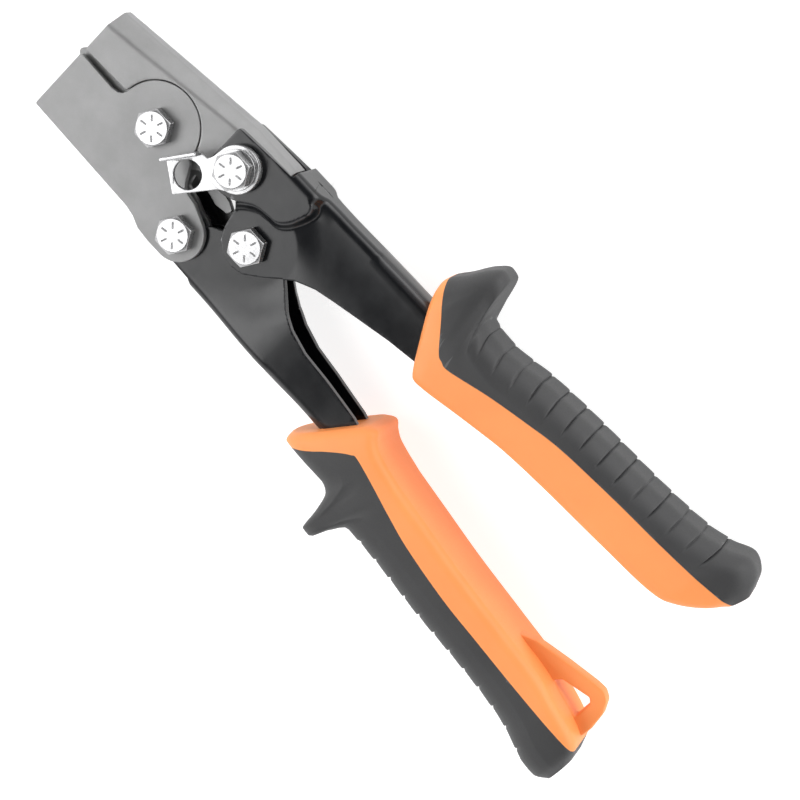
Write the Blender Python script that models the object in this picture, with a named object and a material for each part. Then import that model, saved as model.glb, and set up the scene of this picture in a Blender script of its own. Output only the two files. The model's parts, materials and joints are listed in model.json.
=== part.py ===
"""Compound-action sheet-metal hand tool with a five-blade jaw, lying on its back.

Two folded steel levers with moulded grips turn on each other at the handle bolt. Each drives one
jaw through its own bolt, and the jaws turn on each other at the jaw bolt. A latch swings on the
upper jaw's bolt. Drawing coordinates are millimetres in the tool's plane, with the jaw bolt at
(0, 0), +X towards the grips, +Y towards the upper grip and height 0 at the tool's middle plane.
"""
import math

import bmesh
import bpy
from mathutils import Matrix, Vector

MM = 0.001
TOOL = "hand_crimper"

# Where the drawing's origin lies in the world, in millimetres.
ORIGIN = (-97.6, 2.3, 14.0)

# Pivots, in drawing coordinates.
JAW_PIVOT = (0.0, 0.0)
LOWER_JAW_PIVOT = (28.0, -18.7)
UPPER_JAW_PIVOT = (28.4, 12.0)
HANDLE_PIVOT = (46.9, -3.8)
PIVOTS = {
    "lower_handle": HANDLE_PIVOT,
    "upper_handle": HANDLE_PIVOT,
    "lower_jaw": LOWER_JAW_PIVOT,
    "upper_jaw": JAW_PIVOT,
    "latch": UPPER_JAW_PIVOT,
}

# Heights of the stacked plates above the middle plane; the other half is a mirror image.
MIDDLE_BLADE = 1.15
INNER_BLADE = (2.05, 4.35)
JAW_PLATE = (5.3, 7.6)
LOWER_LEVER_PLATE = (2.8, 5.0)
UPPER_LEVER_PLATE = (5.3, 7.5)
RAISED_PLATE = (7.9, 10.1)
LATCH_SPACER = (10.35, 12.2)
LATCH_PLATE = (12.45, 13.8)
LATCH_WASHER = (14.05, 14.65)
REST = -14.0
SHEET = 2.2
GAP = 0.3

# Fasteners: 1/4 inch bolts.
SHANK_RADIUS = 3.0
HOLE_RADIUS = 3.3
FREE_HOLE_RADIUS = 3.5
HEX_RADIUS = 6.42
HEAD_HEIGHT = 4.0
NUT_HEIGHT = 4.8

SIDES = 24
FINISHES = {
    "silver_steel": ((0.47, 0.47, 0.47), 0.38, 0.9),
    "black_paint": ((0.018, 0.019, 0.021), 0.22, 0.0),
    "bright_zinc": ((0.86, 0.87, 0.88), 0.22, 1.0),
    "orange_grip": ((0.95, 0.26, 0.05), 0.45, 0.0),
    "grey_grip": ((0.055, 0.055, 0.056), 0.6, 0.0),
    "spring_steel": ((0.35, 0.35, 0.36), 0.35, 1.0),
}


# Scene and objects

def clear_scene():
    for obj in list(bpy.data.objects):
        bpy.data.objects.remove(obj, do_unlink=True)


def new_collection(name):
    collection = bpy.data.collections.new(name)
    bpy.context.scene.collection.children.link(collection)
    return collection


def make_materials():
    made = {}
    for name, (colour, roughness, metallic) in FINISHES.items():
        material = bpy.data.materials.new(name)
        material.use_nodes = True
        shader = material.node_tree.nodes["Principled BSDF"]
        shader.inputs["Base Color"].default_value = (*colour, 1.0)
        shader.inputs["Roughness"].default_value = roughness
        shader.inputs["Metallic"].default_value = metallic
        made[name] = material
    return made


def make_body_frames(collection):
    """One empty on each body's joint axis, which the body's pieces hang from."""
    frames = {}
    for body, (x, y) in PIVOTS.items():
        frame = bpy.data.objects.new("frame_" + body, None)
        frame.location = (Vector((x, y, 0)) + Vector(ORIGIN)) * MM
        collection.objects.link(frame)
        frames[body] = frame
    return frames


clear_scene()
PARTS = new_collection(TOOL)
CUTTERS = new_collection("cutters")
MATERIALS = make_materials()
FRAMES = make_body_frames(PARTS)


def part(name, mesh, body, finish):
    """Places a mesh drawn in drawing coordinates as a piece of one body."""
    obj = bpy.data.objects.new(name, mesh)
    mesh.materials.append(MATERIALS[finish])
    obj.parent = FRAMES[body]
    x, y = PIVOTS[body]
    obj.location = Vector((-x, -y, 0)) * MM
    PARTS.objects.link(obj)
    mesh.shade_smooth()
    mesh.set_sharp_from_angle(angle=math.radians(30))
    return obj


def cutter(name, mesh):
    obj = bpy.data.objects.new(name, mesh)
    obj.location = Vector(ORIGIN) * MM
    obj.hide_render = True
    obj.display_type = "WIRE"
    CUTTERS.objects.link(obj)
    return obj


def combine(obj, other, operation):
    modifier = obj.modifiers.new(operation.lower() + "_" + other.name, "BOOLEAN")
    modifier.operation = operation
    modifier.object = other


# Outlines

def arc(centre, radius, start, end, steps):
    """Points along an arc, from one angle to another in degrees."""
    points = []
    for i in range(steps + 1):
        angle = math.radians(start + (end - start) * i / steps)
        x = centre[0] + radius * math.cos(angle)
        y = centre[1] + radius * math.sin(angle)
        points.append((x, y))
    return points


def circle(centre, radius, steps=SIDES):
    return arc(centre, radius, 0, 360, steps)[:-1]


def interpolate(table, x):
    """Straight-line value at x from rows of (x, value, ...)."""
    if x <= table[0][0]:
        return table[0][1:]
    for left, right in zip(table, table[1:]):
        if x <= right[0]:
            share = (x - left[0]) / (right[0] - left[0])
            return tuple(a + (b - a) * share for a, b in zip(left[1:], right[1:]))
    return table[-1][1:]


# Meshes

def plate_mesh(name, outlines, low, high):
    """A flat plate: the first outline filled, the others left as holes."""
    curve = bpy.data.curves.new(name, "CURVE")
    curve.dimensions = "2D"
    curve.fill_mode = "BOTH"
    curve.extrude = (high - low) / 2 * MM
    for outline in outlines:
        spline = curve.splines.new("POLY")
        spline.points.add(len(outline) - 1)
        for point, (x, y) in zip(spline.points, outline):
            point.co = (x * MM, y * MM, 0, 1)
        spline.use_cyclic_u = True
    guide = bpy.data.objects.new(name + "_outline", curve)
    CUTTERS.objects.link(guide)
    graph = bpy.context.evaluated_depsgraph_get()
    mesh = bpy.data.meshes.new_from_object(guide.evaluated_get(graph))
    bpy.data.objects.remove(guide, do_unlink=True)
    mesh.name = name
    edited = bmesh.new()
    edited.from_mesh(mesh)
    bmesh.ops.remove_doubles(edited, verts=edited.verts, dist=1e-6)
    bmesh.ops.translate(edited, verts=edited.verts, vec=(0, 0, (low + high) / 2 * MM))
    edited.to_mesh(mesh)
    edited.free()
    return mesh


def cylinder_mesh(name, centre, radius, low, high, sides=SIDES):
    """A round bar standing along Z, or a hexagonal one with a corner towards +X."""
    mesh = bpy.data.meshes.new(name)
    edited = bmesh.new()
    bmesh.ops.create_cone(
        edited, cap_ends=True, segments=sides, radius1=radius * MM, radius2=radius * MM,
        depth=(high - low) * MM,
    )
    if sides == 6:
        bmesh.ops.rotate(edited, verts=edited.verts, matrix=Matrix.Rotation(math.radians(30), 3, "Z"))
    middle = Vector((centre[0], centre[1], (low + high) / 2)) * MM
    bmesh.ops.translate(edited, verts=edited.verts, vec=middle)
    edited.to_mesh(mesh)
    edited.free()
    return mesh


def loft_mesh(name, rings):
    """A closed skin over rings of equal point counts, with its two ends filled."""
    mesh = bpy.data.meshes.new(name)
    edited = bmesh.new()
    rows = []
    for ring in rings:
        rows.append([edited.verts.new(Vector(point) * MM) for point in ring])
    count = len(rows[0])
    for row, following in zip(rows, rows[1:]):
        for i in range(count):
            j = (i + 1) % count
            edited.faces.new((row[i], row[j], following[j]))
            edited.faces.new((row[i], following[j], following[i]))
    edited.faces.new(list(reversed(rows[0])))
    edited.faces.new(rows[-1])
    bmesh.ops.recalc_face_normals(edited, faces=edited.faces)
    edited.to_mesh(mesh)
    edited.free()
    return mesh


# Bolts, nuts, washers and bushings

HOLES = {}


def bolt_hole(pivot, radius):
    """A drill through the whole tool at one pivot, shared by every plate it passes."""
    key = (pivot, radius)
    if key not in HOLES:
        name = f"drill_{len(HOLES) + 1}"
        HOLES[key] = cutter(name, cylinder_mesh(name, pivot, radius, -20, 24))
    return HOLES[key]


def make_bolt(name, body, pivot, seat, tip):
    """A hexagon-head bolt whose head sits on the height given and whose shank runs to its tip."""
    head = cylinder_mesh(name, pivot, HEX_RADIUS, seat, seat + HEAD_HEIGHT, sides=6)
    bolt = part(name, head, body, "bright_zinc")
    shank = cylinder_mesh(name + "_shank", pivot, SHANK_RADIUS, tip, seat + 1, sides=24)
    combine(bolt, cutter(name + "_shank", shank), "UNION")
    return bolt


def make_nut(name, body, pivot, low, high):
    outline = circle(pivot, HEX_RADIUS, 6)
    mesh = plate_mesh(name, [outline, circle(pivot, SHANK_RADIUS + 0.2, 24)], low, high)
    return part(name, mesh, body, "bright_zinc")


def make_ring(name, body, pivot, radius, low, high, finish="bright_zinc"):
    mesh = plate_mesh(name, [circle(pivot, radius), circle(pivot, HOLE_RADIUS)], low, high)
    return part(name, mesh, body, finish)


def make_fasteners():
    plain_seat = JAW_PLATE[1] + GAP
    nut_low = -plain_seat - NUT_HEIGHT
    for name, body, pivot in (
        ("jaw_pivot_bolt", "lower_jaw", JAW_PIVOT),
        ("lower_jaw_bolt", "lower_jaw", LOWER_JAW_PIVOT),
        ("handle_pivot_bolt", "upper_handle", HANDLE_PIVOT),
    ):
        make_bolt(name, body, pivot, plain_seat, REST + 0.1)
        make_nut(name.replace("bolt", "nut"), body, pivot, nut_low, -plain_seat)
    seat = LATCH_WASHER[1] + 0.25
    make_bolt("upper_jaw_bolt", "upper_handle", UPPER_JAW_PIVOT, seat, REST + 0.2)
    make_nut("upper_jaw_nut", "upper_handle", UPPER_JAW_PIVOT, REST, -RAISED_PLATE[1] - GAP)


def make_rings():
    """Washers that hold the blades apart, and the bushings inside the levers."""
    inner = (MIDDLE_BLADE + 0.25, INNER_BLADE[0] - 0.25)
    outer = (INNER_BLADE[1] + 0.25, JAW_PLATE[0] - 0.25)
    lever = (MIDDLE_BLADE + 0.25, LOWER_LEVER_PLATE[0] - 0.25)
    for side, sign in (("front", 1), ("back", -1)):
        for label, body, pivot, radius, (near, far) in (
            ("jaw_pivot_inner_washer", "lower_jaw", JAW_PIVOT, 6.0, inner),
            ("jaw_pivot_outer_washer", "lower_jaw", JAW_PIVOT, 6.0, outer),
            ("upper_jaw_washer", "upper_jaw", UPPER_JAW_PIVOT, 6.0, outer),
            ("lower_jaw_washer", "lower_jaw", LOWER_JAW_PIVOT, 6.0, lever),
        ):
            low, high = sorted((sign * near, sign * far))
            make_ring(f"{label}_{side}", body, pivot, radius, low, high)
    half = INNER_BLADE[0] - 0.25
    make_ring("upper_jaw_bushing", "upper_jaw", UPPER_JAW_PIVOT, 3.9, -half, half)
    half = LOWER_LEVER_PLATE[0] - 0.25
    make_ring("handle_pivot_bushing", "lower_handle", HANDLE_PIVOT, 4.8, -half, half)


# Jaws

LOBE_RADIUS = 14.5
HOLLOW_RADIUS = LOBE_RADIUS + 0.35
TAIL_RADIUS = 9.0
TIP_X = -33.6


def lower_jaw_outline():
    """Jaw plate: a straight throat edge, a round shoulder about the jaw bolt, a tail."""
    points = [(TIP_X, -24.6), (TIP_X, -2.0), (-19.0, -2.3), (-16.8, -1.9), (-15.6, -0.9), (-14.8, 0.1)]
    points += arc(JAW_PIVOT, LOBE_RADIUS, 175, 2, 24)
    points += [(15.5, 0.1), (17.2, -2.7), (18.7, -5.4), (19.9, -6.8), (21.8, -7.3), (25.3, -7.8)]
    points += arc(LOWER_JAW_PIVOT, 8.9, 70, -90, 18)
    points += [(22.5, -27.7), (17.5, -27.2), (13.5, -25.6), (10.0, -25.1)]
    return points


def middle_blade_outline():
    """Blade between the two upper ones; its round back edge is the opening stop."""
    points = [(TIP_X + 0.6, -24.0), (TIP_X + 0.6, 2.2), (-16.0, 3.4)]
    points += arc(JAW_PIVOT, 10.0, 150, 30, 10)
    points += [(15.5, 0.8), (22.0, 0.2), (27.5, -0.3), (31.5, -1.0), (34.6, -2.8)]
    points += [(36.3, -6.5), (36.8, -12.0)]
    points += arc(LOWER_JAW_PIVOT, 8.6, 20, -90, 10)
    points += [(13.0, -25.0)]
    return points


def inner_blade_outline():
    """Upper crimping blade: a small nose at the tip, then back over both upper bolts."""
    points = [(-32.6, -6.2), (-33.2, -4.6), (-35.2, -4.1), (-36.2, -3.2), (-36.4, -2.0), (-35.6, -0.9)]
    points += [(-33.6, -0.1), (TIP_X + 0.8, 1.0), (TIP_X + 0.8, 9.6), (20.0, 18.2), (28.4, 18.4)]
    points += arc(UPPER_JAW_PIVOT, 7.8, 50, -85, 12)
    points += [(18.0, -0.8), (12.0, -5.0)]
    points += arc(JAW_PIVOT, 9.0, -50, -130, 8)
    points += [(-14.0, -6.6)]
    return points


def make_lower_jaw():
    outline = lower_jaw_outline()
    holes = [circle(JAW_PIVOT, HOLE_RADIUS), circle(LOWER_JAW_PIVOT, HOLE_RADIUS)]
    for side, sign in (("front", 1), ("back", -1)):
        low, high = sorted((sign * JAW_PLATE[0], sign * JAW_PLATE[1]))
        name = f"lower_jaw_{side}_plate"
        part(name, plate_mesh(name, [outline] + holes, low, high), "lower_jaw", "silver_steel")
    name = "lower_jaw_middle_blade"
    mesh = plate_mesh(name, [middle_blade_outline()] + holes, -MIDDLE_BLADE, MIDDLE_BLADE)
    part(name, mesh, "lower_jaw", "silver_steel")


# Along the upper jaw: x, height of the side wall's top, the spine's outer height and half-width.
CHANNEL_RIDGE = [
    (-33.4, 10.8, 15.9, 2.6),
    (22.0, 19.4, 22.7, 3.7),
    (38.6, 20.6, 22.8, 4.0),
    (40.6, 20.8, 22.2, 3.9),
]


def channel_lower_edge(x):
    """The side wall's lower edge: throat, hollow about the jaw bolt, round tail."""
    if x < -14.8:
        return 0.9 * (x + 33.4) / 18.0
    if x < 14.06:
        return math.sqrt(max(HOLLOW_RADIUS ** 2 - x ** 2, 0.0))
    bx, by = UPPER_JAW_PIVOT
    if x < bx - 6.4:
        return interpolate([(14.05, 4.85), (15.4, 4.6), (18.7, 5.9), (22.0, 5.67)], x)[0]
    if x < bx + TAIL_RADIUS - 0.6:
        return by - math.sqrt(TAIL_RADIUS ** 2 - (x - bx) ** 2)
    return 9.0 + (x - (bx + TAIL_RADIUS - 0.6)) * 2.6


def channel_rings():
    stations = [TIP_X + 0.2, -24.0, -16.0, -15.1, -14.6, -14.2, -13.4, -12.0, -10.0, -7.5, -4.0, 0.0]
    stations += [4.0, 7.5, 10.0, 12.0, 13.3, 14.05, 15.4, 18.7, 22.0, 23.6, 26.0, 28.4, 32.0]
    stations += [34.8, 36.4, 36.9, 38.6, 40.6]
    thick = JAW_PLATE[1] - JAW_PLATE[0]
    wall = JAW_PLATE[1]
    rings = []
    for x in stations:
        wall_top, spine, half = interpolate(CHANNEL_RIDGE, x)
        low = channel_lower_edge(x)
        outer = [(low, wall), (wall_top, wall), (spine, half)]
        inner = [(low, wall - thick), (wall_top - 0.9, wall - thick), (spine - thick, half - 0.7)]
        back = [(y, -z) for y, z in reversed(outer)]
        inner_back = [(y, -z) for y, z in inner]
        section = outer + back + inner_back + list(reversed(inner))
        rings.append([(x, y, z) for y, z in section])
    return rings


def make_upper_jaw():
    name = "upper_jaw_channel"
    channel = part(name, loft_mesh(name, channel_rings()), "upper_jaw", "silver_steel")
    combine(channel, bolt_hole(UPPER_JAW_PIVOT, FREE_HOLE_RADIUS), "DIFFERENCE")
    holes = [circle(JAW_PIVOT, HOLE_RADIUS), circle(UPPER_JAW_PIVOT, FREE_HOLE_RADIUS)]
    outlines = [inner_blade_outline()] + holes
    for side, sign in (("front", 1), ("back", -1)):
        low, high = sorted((sign * INNER_BLADE[0], sign * INNER_BLADE[1]))
        name = f"upper_jaw_{side}_blade"
        part(name, plate_mesh(name, outlines, low, high), "upper_jaw", "silver_steel")


# Levers. Along each channel: x, open edge, outer face of the web, half-width across the plates.

UPPER_CHANNEL = [
    (52.0, -8.6, 24.5, 7.35),
    (56.0, -7.6, 24.6, 7.35),
    (60.7, -3.6, 24.7, 7.4),
    (64.0, -1.0, 24.8, 7.4),
    (71.0, 2.9, 25.0, 5.9),
    (87.0, 7.2, 25.6, 5.8),
    (108.0, 10.4, 26.0, 5.8),
    (118.0, 13.0, 27.5, 5.6),
    (150.0, 19.0, 31.5, 5.4),
    (200.0, 22.5, 33.5, 5.2),
]
LOWER_CHANNEL = [
    (54.0, -1.4, -28.75, 4.85),
    (61.5, -3.4, -28.75, 4.9),
    (65.5, -6.3, -28.75, 8.2),
    (74.0, -11.3, -28.7, 8.6),
    (82.0, -13.6, -28.6, 7.8),
    (93.0, -15.2, -28.5, 5.9),
    (108.0, -17.2, -28.9, 5.8),
    (122.0, -21.0, -31.0, 5.6),
    (150.0, -26.0, -37.5, 5.4),
    (200.0, -31.5, -41.5, 5.2),
]


def channel_mesh(name, stations, grow=0.0):
    """A folded lever: two plates and a web, each swollen by grow on every side."""
    rings = []
    for x, edge, web, half in stations:
        towards = 1 if web > edge else -1
        outer = half + grow
        inner = half - SHEET - grow
        web_outer = web + towards * grow
        web_inner = web - towards * (SHEET + grow)
        open_edge = edge - towards * grow
        section = [
            (open_edge, outer), (web_outer, outer), (web_outer, -outer), (open_edge, -outer),
            (open_edge, -inner), (web_inner, -inner), (web_inner, inner), (open_edge, inner),
        ]
        rings.append([(x, y, z) for y, z in section])
    return loft_mesh(name, rings)


def grip_pocket(name, stations):
    """The same channel from the collar inwards, a little larger and longer."""
    inside = [row for row in stations if row[0] > 85]
    last = inside[-1]
    inside[-1] = (last[0] + GAP,) + last[1:]
    return cutter(name, channel_mesh(name, inside, GAP))


def add_plates(lever, label, outline, low, high):
    """Unites a flat plate and its mirror image with a lever."""
    for side, sign in (("front", 1), ("back", -1)):
        bottom, top = sorted((sign * low, sign * high))
        name = f"{label}_{side}"
        combine(lever, cutter(name, plate_mesh(name, [outline], bottom, top)), "UNION")


def add_web(lever, label, outline, half):
    combine(lever, cutter(label, plate_mesh(label, [outline], -half, half)), "UNION")


def raised_outline():
    """The plates that straddle the upper jaw's tail."""
    points = [(19.5, 7.6), (19.5, 20.2), (20.3, 20.9), (41.0, 22.7), (42.2, 24.4), (53.6, 24.5)]
    points += [(54.7, 19.2), (53.7, 13.4)]
    points += arc(HANDLE_PIVOT, 13.3, 80, 146, 8)
    points += arc(UPPER_JAW_PIVOT, 10.0, -52, -152, 12)
    return points


def step_outline():
    """The wall that joins the raised plates to the ones about the handle bolt."""
    raised_side = [(51.4, 23.6), (52.8, 19.2), (51.9, 14.8)] + arc(HANDLE_PIVOT, 14.0, 84, 143, 8)
    handle_side = arc(HANDLE_PIVOT, 11.9, 144, 78, 8) + [(55.2, 12.4), (56.4, 19.3), (55.0, 23.6)]
    return raised_side + handle_side


def handle_plate_outline():
    points = [(53.8, 24.3), (55.4, 19.3), (54.2, 12.9)]
    points += arc(HANDLE_PIVOT, 12.5, 78, 150, 8)
    points += [(35.9, 1.0), (36.5, -2.2), (37.1, -5.6), (38.7, -9.3), (42.2, -11.9), (47.3, -12.8)]
    points += [(51.5, -11.7), (56.1, -8.0), (58.4, -5.7), (58.4, 24.4)]
    return points


def make_upper_lever():
    name = "upper_lever"
    lever = part(name, channel_mesh(name, UPPER_CHANNEL), "upper_handle", "black_paint")
    add_plates(lever, "handle_plate", handle_plate_outline(), *UPPER_LEVER_PLATE)
    low, high = UPPER_LEVER_PLATE[0] + 0.3, RAISED_PLATE[1] - 0.3
    add_plates(lever, "step", step_outline(), low, high)
    add_plates(lever, "raised", raised_outline(), *RAISED_PLATE)
    add_web(lever, "upper_web", [(42.2, 22.4), (57.0, 22.5), (57.0, 24.65), (42.2, 24.55)], 8.2)
    combine(lever, bolt_hole(UPPER_JAW_PIVOT, HOLE_RADIUS), "DIFFERENCE")
    combine(lever, bolt_hole(HANDLE_PIVOT, HOLE_RADIUS), "DIFFERENCE")


def lower_head_outline():
    points = arc(LOWER_JAW_PIVOT, 8.3, 60, 270, 20)
    points += [(39.6, -27.1), (41.2, -28.7), (57.6, -28.8), (57.6, -2.2), (55.0, 0.8)]
    points += arc(HANDLE_PIVOT, 9.1, 36, 196, 16)
    points += [(36.8, -8.0), (34.6, -9.4)]
    return points


def make_lower_lever():
    name = "lower_lever"
    lever = part(name, channel_mesh(name, LOWER_CHANNEL), "lower_handle", "black_paint")
    add_plates(lever, "lower_head", lower_head_outline(), *LOWER_LEVER_PLATE)
    add_web(lever, "lower_web", [(41.3, -28.9), (57.0, -28.9), (57.0, -26.6), (41.3, -26.6)], 4.7)
    combine(lever, bolt_hole(LOWER_JAW_PIVOT, HOLE_RADIUS), "DIFFERENCE")
    combine(lever, bolt_hole(HANDLE_PIVOT, HOLE_RADIUS), "DIFFERENCE")


# Grips. Stations run from the collar to the end: the inner edge's x and y, the outer edge's
# x and y, and half the thickness.

UPPER_GRIP = [
    (110.6, 8.4, 95.9, 32.6, 11.6),
    (112.2, 7.6, 96.4, 35.4, 12.8),
    (113.6, 7.7, 99.6, 40.6, 13.2),
    (114.8, 7.9, 103.6, 47.4, 12.6),
    (116.0, 8.1, 107.2, 51.0, 11.6),
    (117.2, 8.3, 110.2, 50.6, 11.8),
    (119.4, 8.7, 111.9, 44.0, 12.8),
    (126.0, 10.1, 114.4, 35.6, 13.6),
    (135.0, 11.9, 124.0, 34.4, 14.0),
    (147.0, 14.0, 140.0, 36.8, 14.0),
    (160.0, 15.2, 156.0, 38.2, 14.0),
    (188.0, 16.9, 187.0, 39.6, 14.0),
    (204.5, 18.0, 205.0, 41.4, 14.0),
    (211.0, 19.2, 214.0, 43.8, 14.0),
    (216.0, 21.8, 220.6, 46.8, 13.4),
    (222.0, 27.0, 225.4, 44.8, 12.2),
    (226.6, 32.4, 228.6, 39.0, 9.4),
]
LOWER_GRIP = [
    (113.4, -12.8, 96.6, -36.6, 11.6),
    (115.8, -12.2, 98.0, -38.8, 12.8),
    (118.6, -14.4, 106.0, -39.0, 13.4),
    (121.6, -16.2, 114.6, -38.8, 13.8),
    (124.4, -17.0, 118.6, -40.6, 13.8),
    (127.0, -17.6, 120.4, -47.0, 13.0),
    (129.0, -18.0, 121.6, -55.4, 11.8),
    (131.0, -18.4, 124.6, -55.6, 11.8),
    (133.0, -18.8, 127.6, -48.8, 12.8),
    (136.0, -19.2, 131.6, -43.0, 13.8),
    (147.0, -20.6, 144.0, -43.4, 14.0),
    (166.0, -23.0, 165.0, -45.0, 14.0),
    (188.0, -25.0, 188.0, -45.9, 14.0),
    (206.0, -26.8, 206.0, -47.6, 14.0),
    (215.0, -29.0, 214.0, -49.6, 14.0),
    (223.0, -31.0, 221.6, -52.0, 13.6),
    (228.4, -33.4, 227.4, -52.6, 12.4),
    (231.6, -39.0, 231.4, -49.8, 9.4),
]
INNER_CORNER = 4.5
OUTER_CORNER = 8.5
COVER_WALL = 3.0
CORE_REACH = 28.0

# Where the grey cover's edge runs on the broad faces, from the collar to the end.
UPPER_SEAM = [(92.0, 41.5), (104.0, 29.2), (111.7, 20.8), (114.4, 19.4), (118.0, 19.1), (131.5, 23.0),
              (145.0, 26.1), (158.0, 28.6), (180.0, 30.4), (204.0, 31.8), (236.0, 34.6)]
LOWER_SEAM = [(92.0, -46.5), (104.0, -34.9), (109.6, -28.6), (115.6, -23.0), (119.5, -22.3), (137.0, -26.8),
              (149.0, -29.6), (168.0, -32.2), (184.0, -33.2), (206.0, -34.4), (238.0, -35.6)]


def grip_ring(station, inset):
    """A rounded rectangle between the inner and outer edge points, drawn in by inset."""
    inner_x, inner_y, outer_x, outer_y, half = station
    start = Vector((inner_x, inner_y))
    across = Vector((outer_x, outer_y)) - start
    far = across.length
    if inset:
        far = min(far, CORE_REACH) - inset
    across.normalize()
    half -= inset
    near_radius = min(INNER_CORNER, half - 0.5, (far - inset) * 0.32)
    far_radius = min(OUTER_CORNER, half - 0.5, (far - inset) * 0.6)
    corners = [
        (inset + near_radius, half - near_radius, near_radius, 180, 90),
        (far - far_radius, half - far_radius, far_radius, 90, 0),
        (far - far_radius, far_radius - half, far_radius, 0, -90),
        (inset + near_radius, near_radius - half, near_radius, -90, -180),
    ]
    ring = []
    for along, height, radius, first, last in corners:
        for u, z in arc((along, height), radius, first, last, 3):
            point = start + across * u
            ring.append((point.x, point.y, z))
    return ring


def blend_stations(near, far, share):
    return tuple(a + (b - a) * share for a, b in zip(near, far))


def grip_mesh(name, stations):
    return loft_mesh(name, [grip_ring(station, 0.0) for station in stations])


def inner_grip_mesh(name, stations, inset, shorten):
    """The grip drawn in all round and without its horn, its ends moved in by a share."""
    first = blend_stations(stations[1], stations[2], shorten)
    last = blend_stations(stations[-2], stations[-3], shorten)
    rows = [first] + stations[2:-2] + [last]
    return loft_mesh(name, [grip_ring(station, inset) for station in rows])


def seam_region(seam, shift, towards):
    """Everything on the cover's side of the seam, as an outline."""
    edge = [(x, y + shift) for x, y in seam]
    return edge + [(edge[-1][0], towards), (edge[0][0] - 8, towards)]


def make_grip(label, body, lever_stations, stations, seam, outward):
    """An orange core moulded on the lever and a grey cover round its outer half."""
    far = outward * 75
    core_name = f"{label}_grip_core"
    cover_name = f"{label}_grip_cover"
    core = part(core_name, grip_mesh(core_name, stations), body, "orange_grip")
    whole_side = seam_region(seam, 0.0, far)
    trim = cutter(f"{label}_seam", plate_mesh(f"{label}_seam", [whole_side], -20, 20))
    combine(core, trim, "DIFFERENCE")
    tongue_name = f"{label}_grip_tongue"
    tongue = inner_grip_mesh(tongue_name, stations, COVER_WALL + 2 * GAP, 0.2)
    combine(core, cutter(tongue_name, tongue), "UNION")
    pocket = grip_pocket(f"{label}_pocket", lever_stations)
    combine(core, pocket, "DIFFERENCE")
    cover = part(cover_name, grip_mesh(cover_name, stations), body, "grey_grip")
    cover_side = seam_region(seam, outward * GAP, far)
    keep = cutter(f"{label}_cover_side", plate_mesh(f"{label}_cover_side", [cover_side], -20, 20))
    combine(cover, keep, "INTERSECT")
    hollow_name = f"{label}_cover_hollow"
    hollow = inner_grip_mesh(hollow_name, stations, COVER_WALL, 0.0)
    combine(cover, cutter(hollow_name, hollow), "DIFFERENCE")
    combine(cover, pocket, "DIFFERENCE")
    return core


def add_lanyard_loop(core):
    """A fin on the lower grip's inner face with a hole for a cord."""
    outline = [(188.0, -28.0), (197.8, -22.3), (219.6, -17.7), (222.4, -17.5), (225.2, -19.0),
               (228.0, -24.6), (228.6, -33.2), (226.0, -34.4), (200.0, -33.4)]
    hole = [(209.6, -27.2), (211.2, -25.2), (220.6, -22.7), (222.2, -23.8), (222.4, -30.2)]
    hole += [(218.0, -29.3), (214.0, -28.4)]
    mesh = plate_mesh("lanyard_fin", [outline, hole], -2.3, 2.3)
    combine(core, cutter("lanyard_fin", mesh), "UNION")


def make_return_spring():
    """Torsion spring about the handle bushing, its legs reaching out inside the two levers."""
    name = "return_spring"
    radius, rise = 6.4, 1.4
    cx, cy = HANDLE_PIVOT
    start, end, steps = 40.0, 686.0, 30
    points = [(cx + 19.5, cy - 19.0, -rise)]
    for i in range(steps + 1):
        angle = math.radians(start + (end - start) * i / steps)
        height = rise * (2 * i / steps - 1)
        points.append((cx + radius * math.cos(angle), cy + radius * math.sin(angle), height))
    points.append((cx + 20.5, cy + 20.0, rise))
    curve = bpy.data.curves.new(name, "CURVE")
    curve.dimensions = "3D"
    curve.bevel_depth = 0.7 * MM
    curve.bevel_resolution = 1
    curve.use_fill_caps = True
    spline = curve.splines.new("POLY")
    spline.points.add(len(points) - 1)
    for point, (x, y, z) in zip(spline.points, points):
        point.co = (x * MM, y * MM, z * MM, 1)
    spring = bpy.data.objects.new(name, curve)
    curve.materials.append(MATERIALS["spring_steel"])
    spring.parent = FRAMES["lower_handle"]
    spring.location = Vector((-cx, -cy, 0)) * MM
    PARTS.objects.link(spring)


# Latch

def make_latch():
    """A flat catch on the upper jaw's bolt, with a round hole and a turned-up thumb edge."""
    body = "latch"
    outline = [(10.6, -2.6), (19.5, -9.0), (28.0, 4.4)]
    outline += arc(UPPER_JAW_PIVOT, 7.6, -92, 178, 20)
    outline += [(19.6, 7.7), (17.4, 7.6), (16.2, 7.4)]
    holes = [circle((18.6, -0.7), 4.7, 24), circle(UPPER_JAW_PIVOT, HOLE_RADIUS)]
    latch = part("latch_plate", plate_mesh("latch_plate", [outline] + holes, *LATCH_PLATE),
                 body, "bright_zinc")
    tab = [(8.9, -2.9), (10.2, -3.4), (17.3, 6.6), (16.0, 7.3)]
    low = LATCH_PLATE[0] + 0.25
    combine(latch, cutter("latch_tab", plate_mesh("latch_tab", [tab], low, low + 4.6)), "UNION")
    make_ring("latch_spacer", "upper_handle", UPPER_JAW_PIVOT, 7.5, *LATCH_SPACER)
    make_ring("latch_washer", "upper_handle", UPPER_JAW_PIVOT, 6.5, *LATCH_WASHER)


make_lower_jaw()
make_upper_jaw()
make_lower_lever()
make_upper_lever()
lower_core = make_grip("lower", "lower_handle", LOWER_CHANNEL, LOWER_GRIP, LOWER_SEAM, -1)
add_lanyard_loop(lower_core)
make_grip("upper", "upper_handle", UPPER_CHANNEL, UPPER_GRIP, UPPER_SEAM, 1)
make_return_spring()
make_latch()
make_rings()
make_fasteners()
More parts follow.
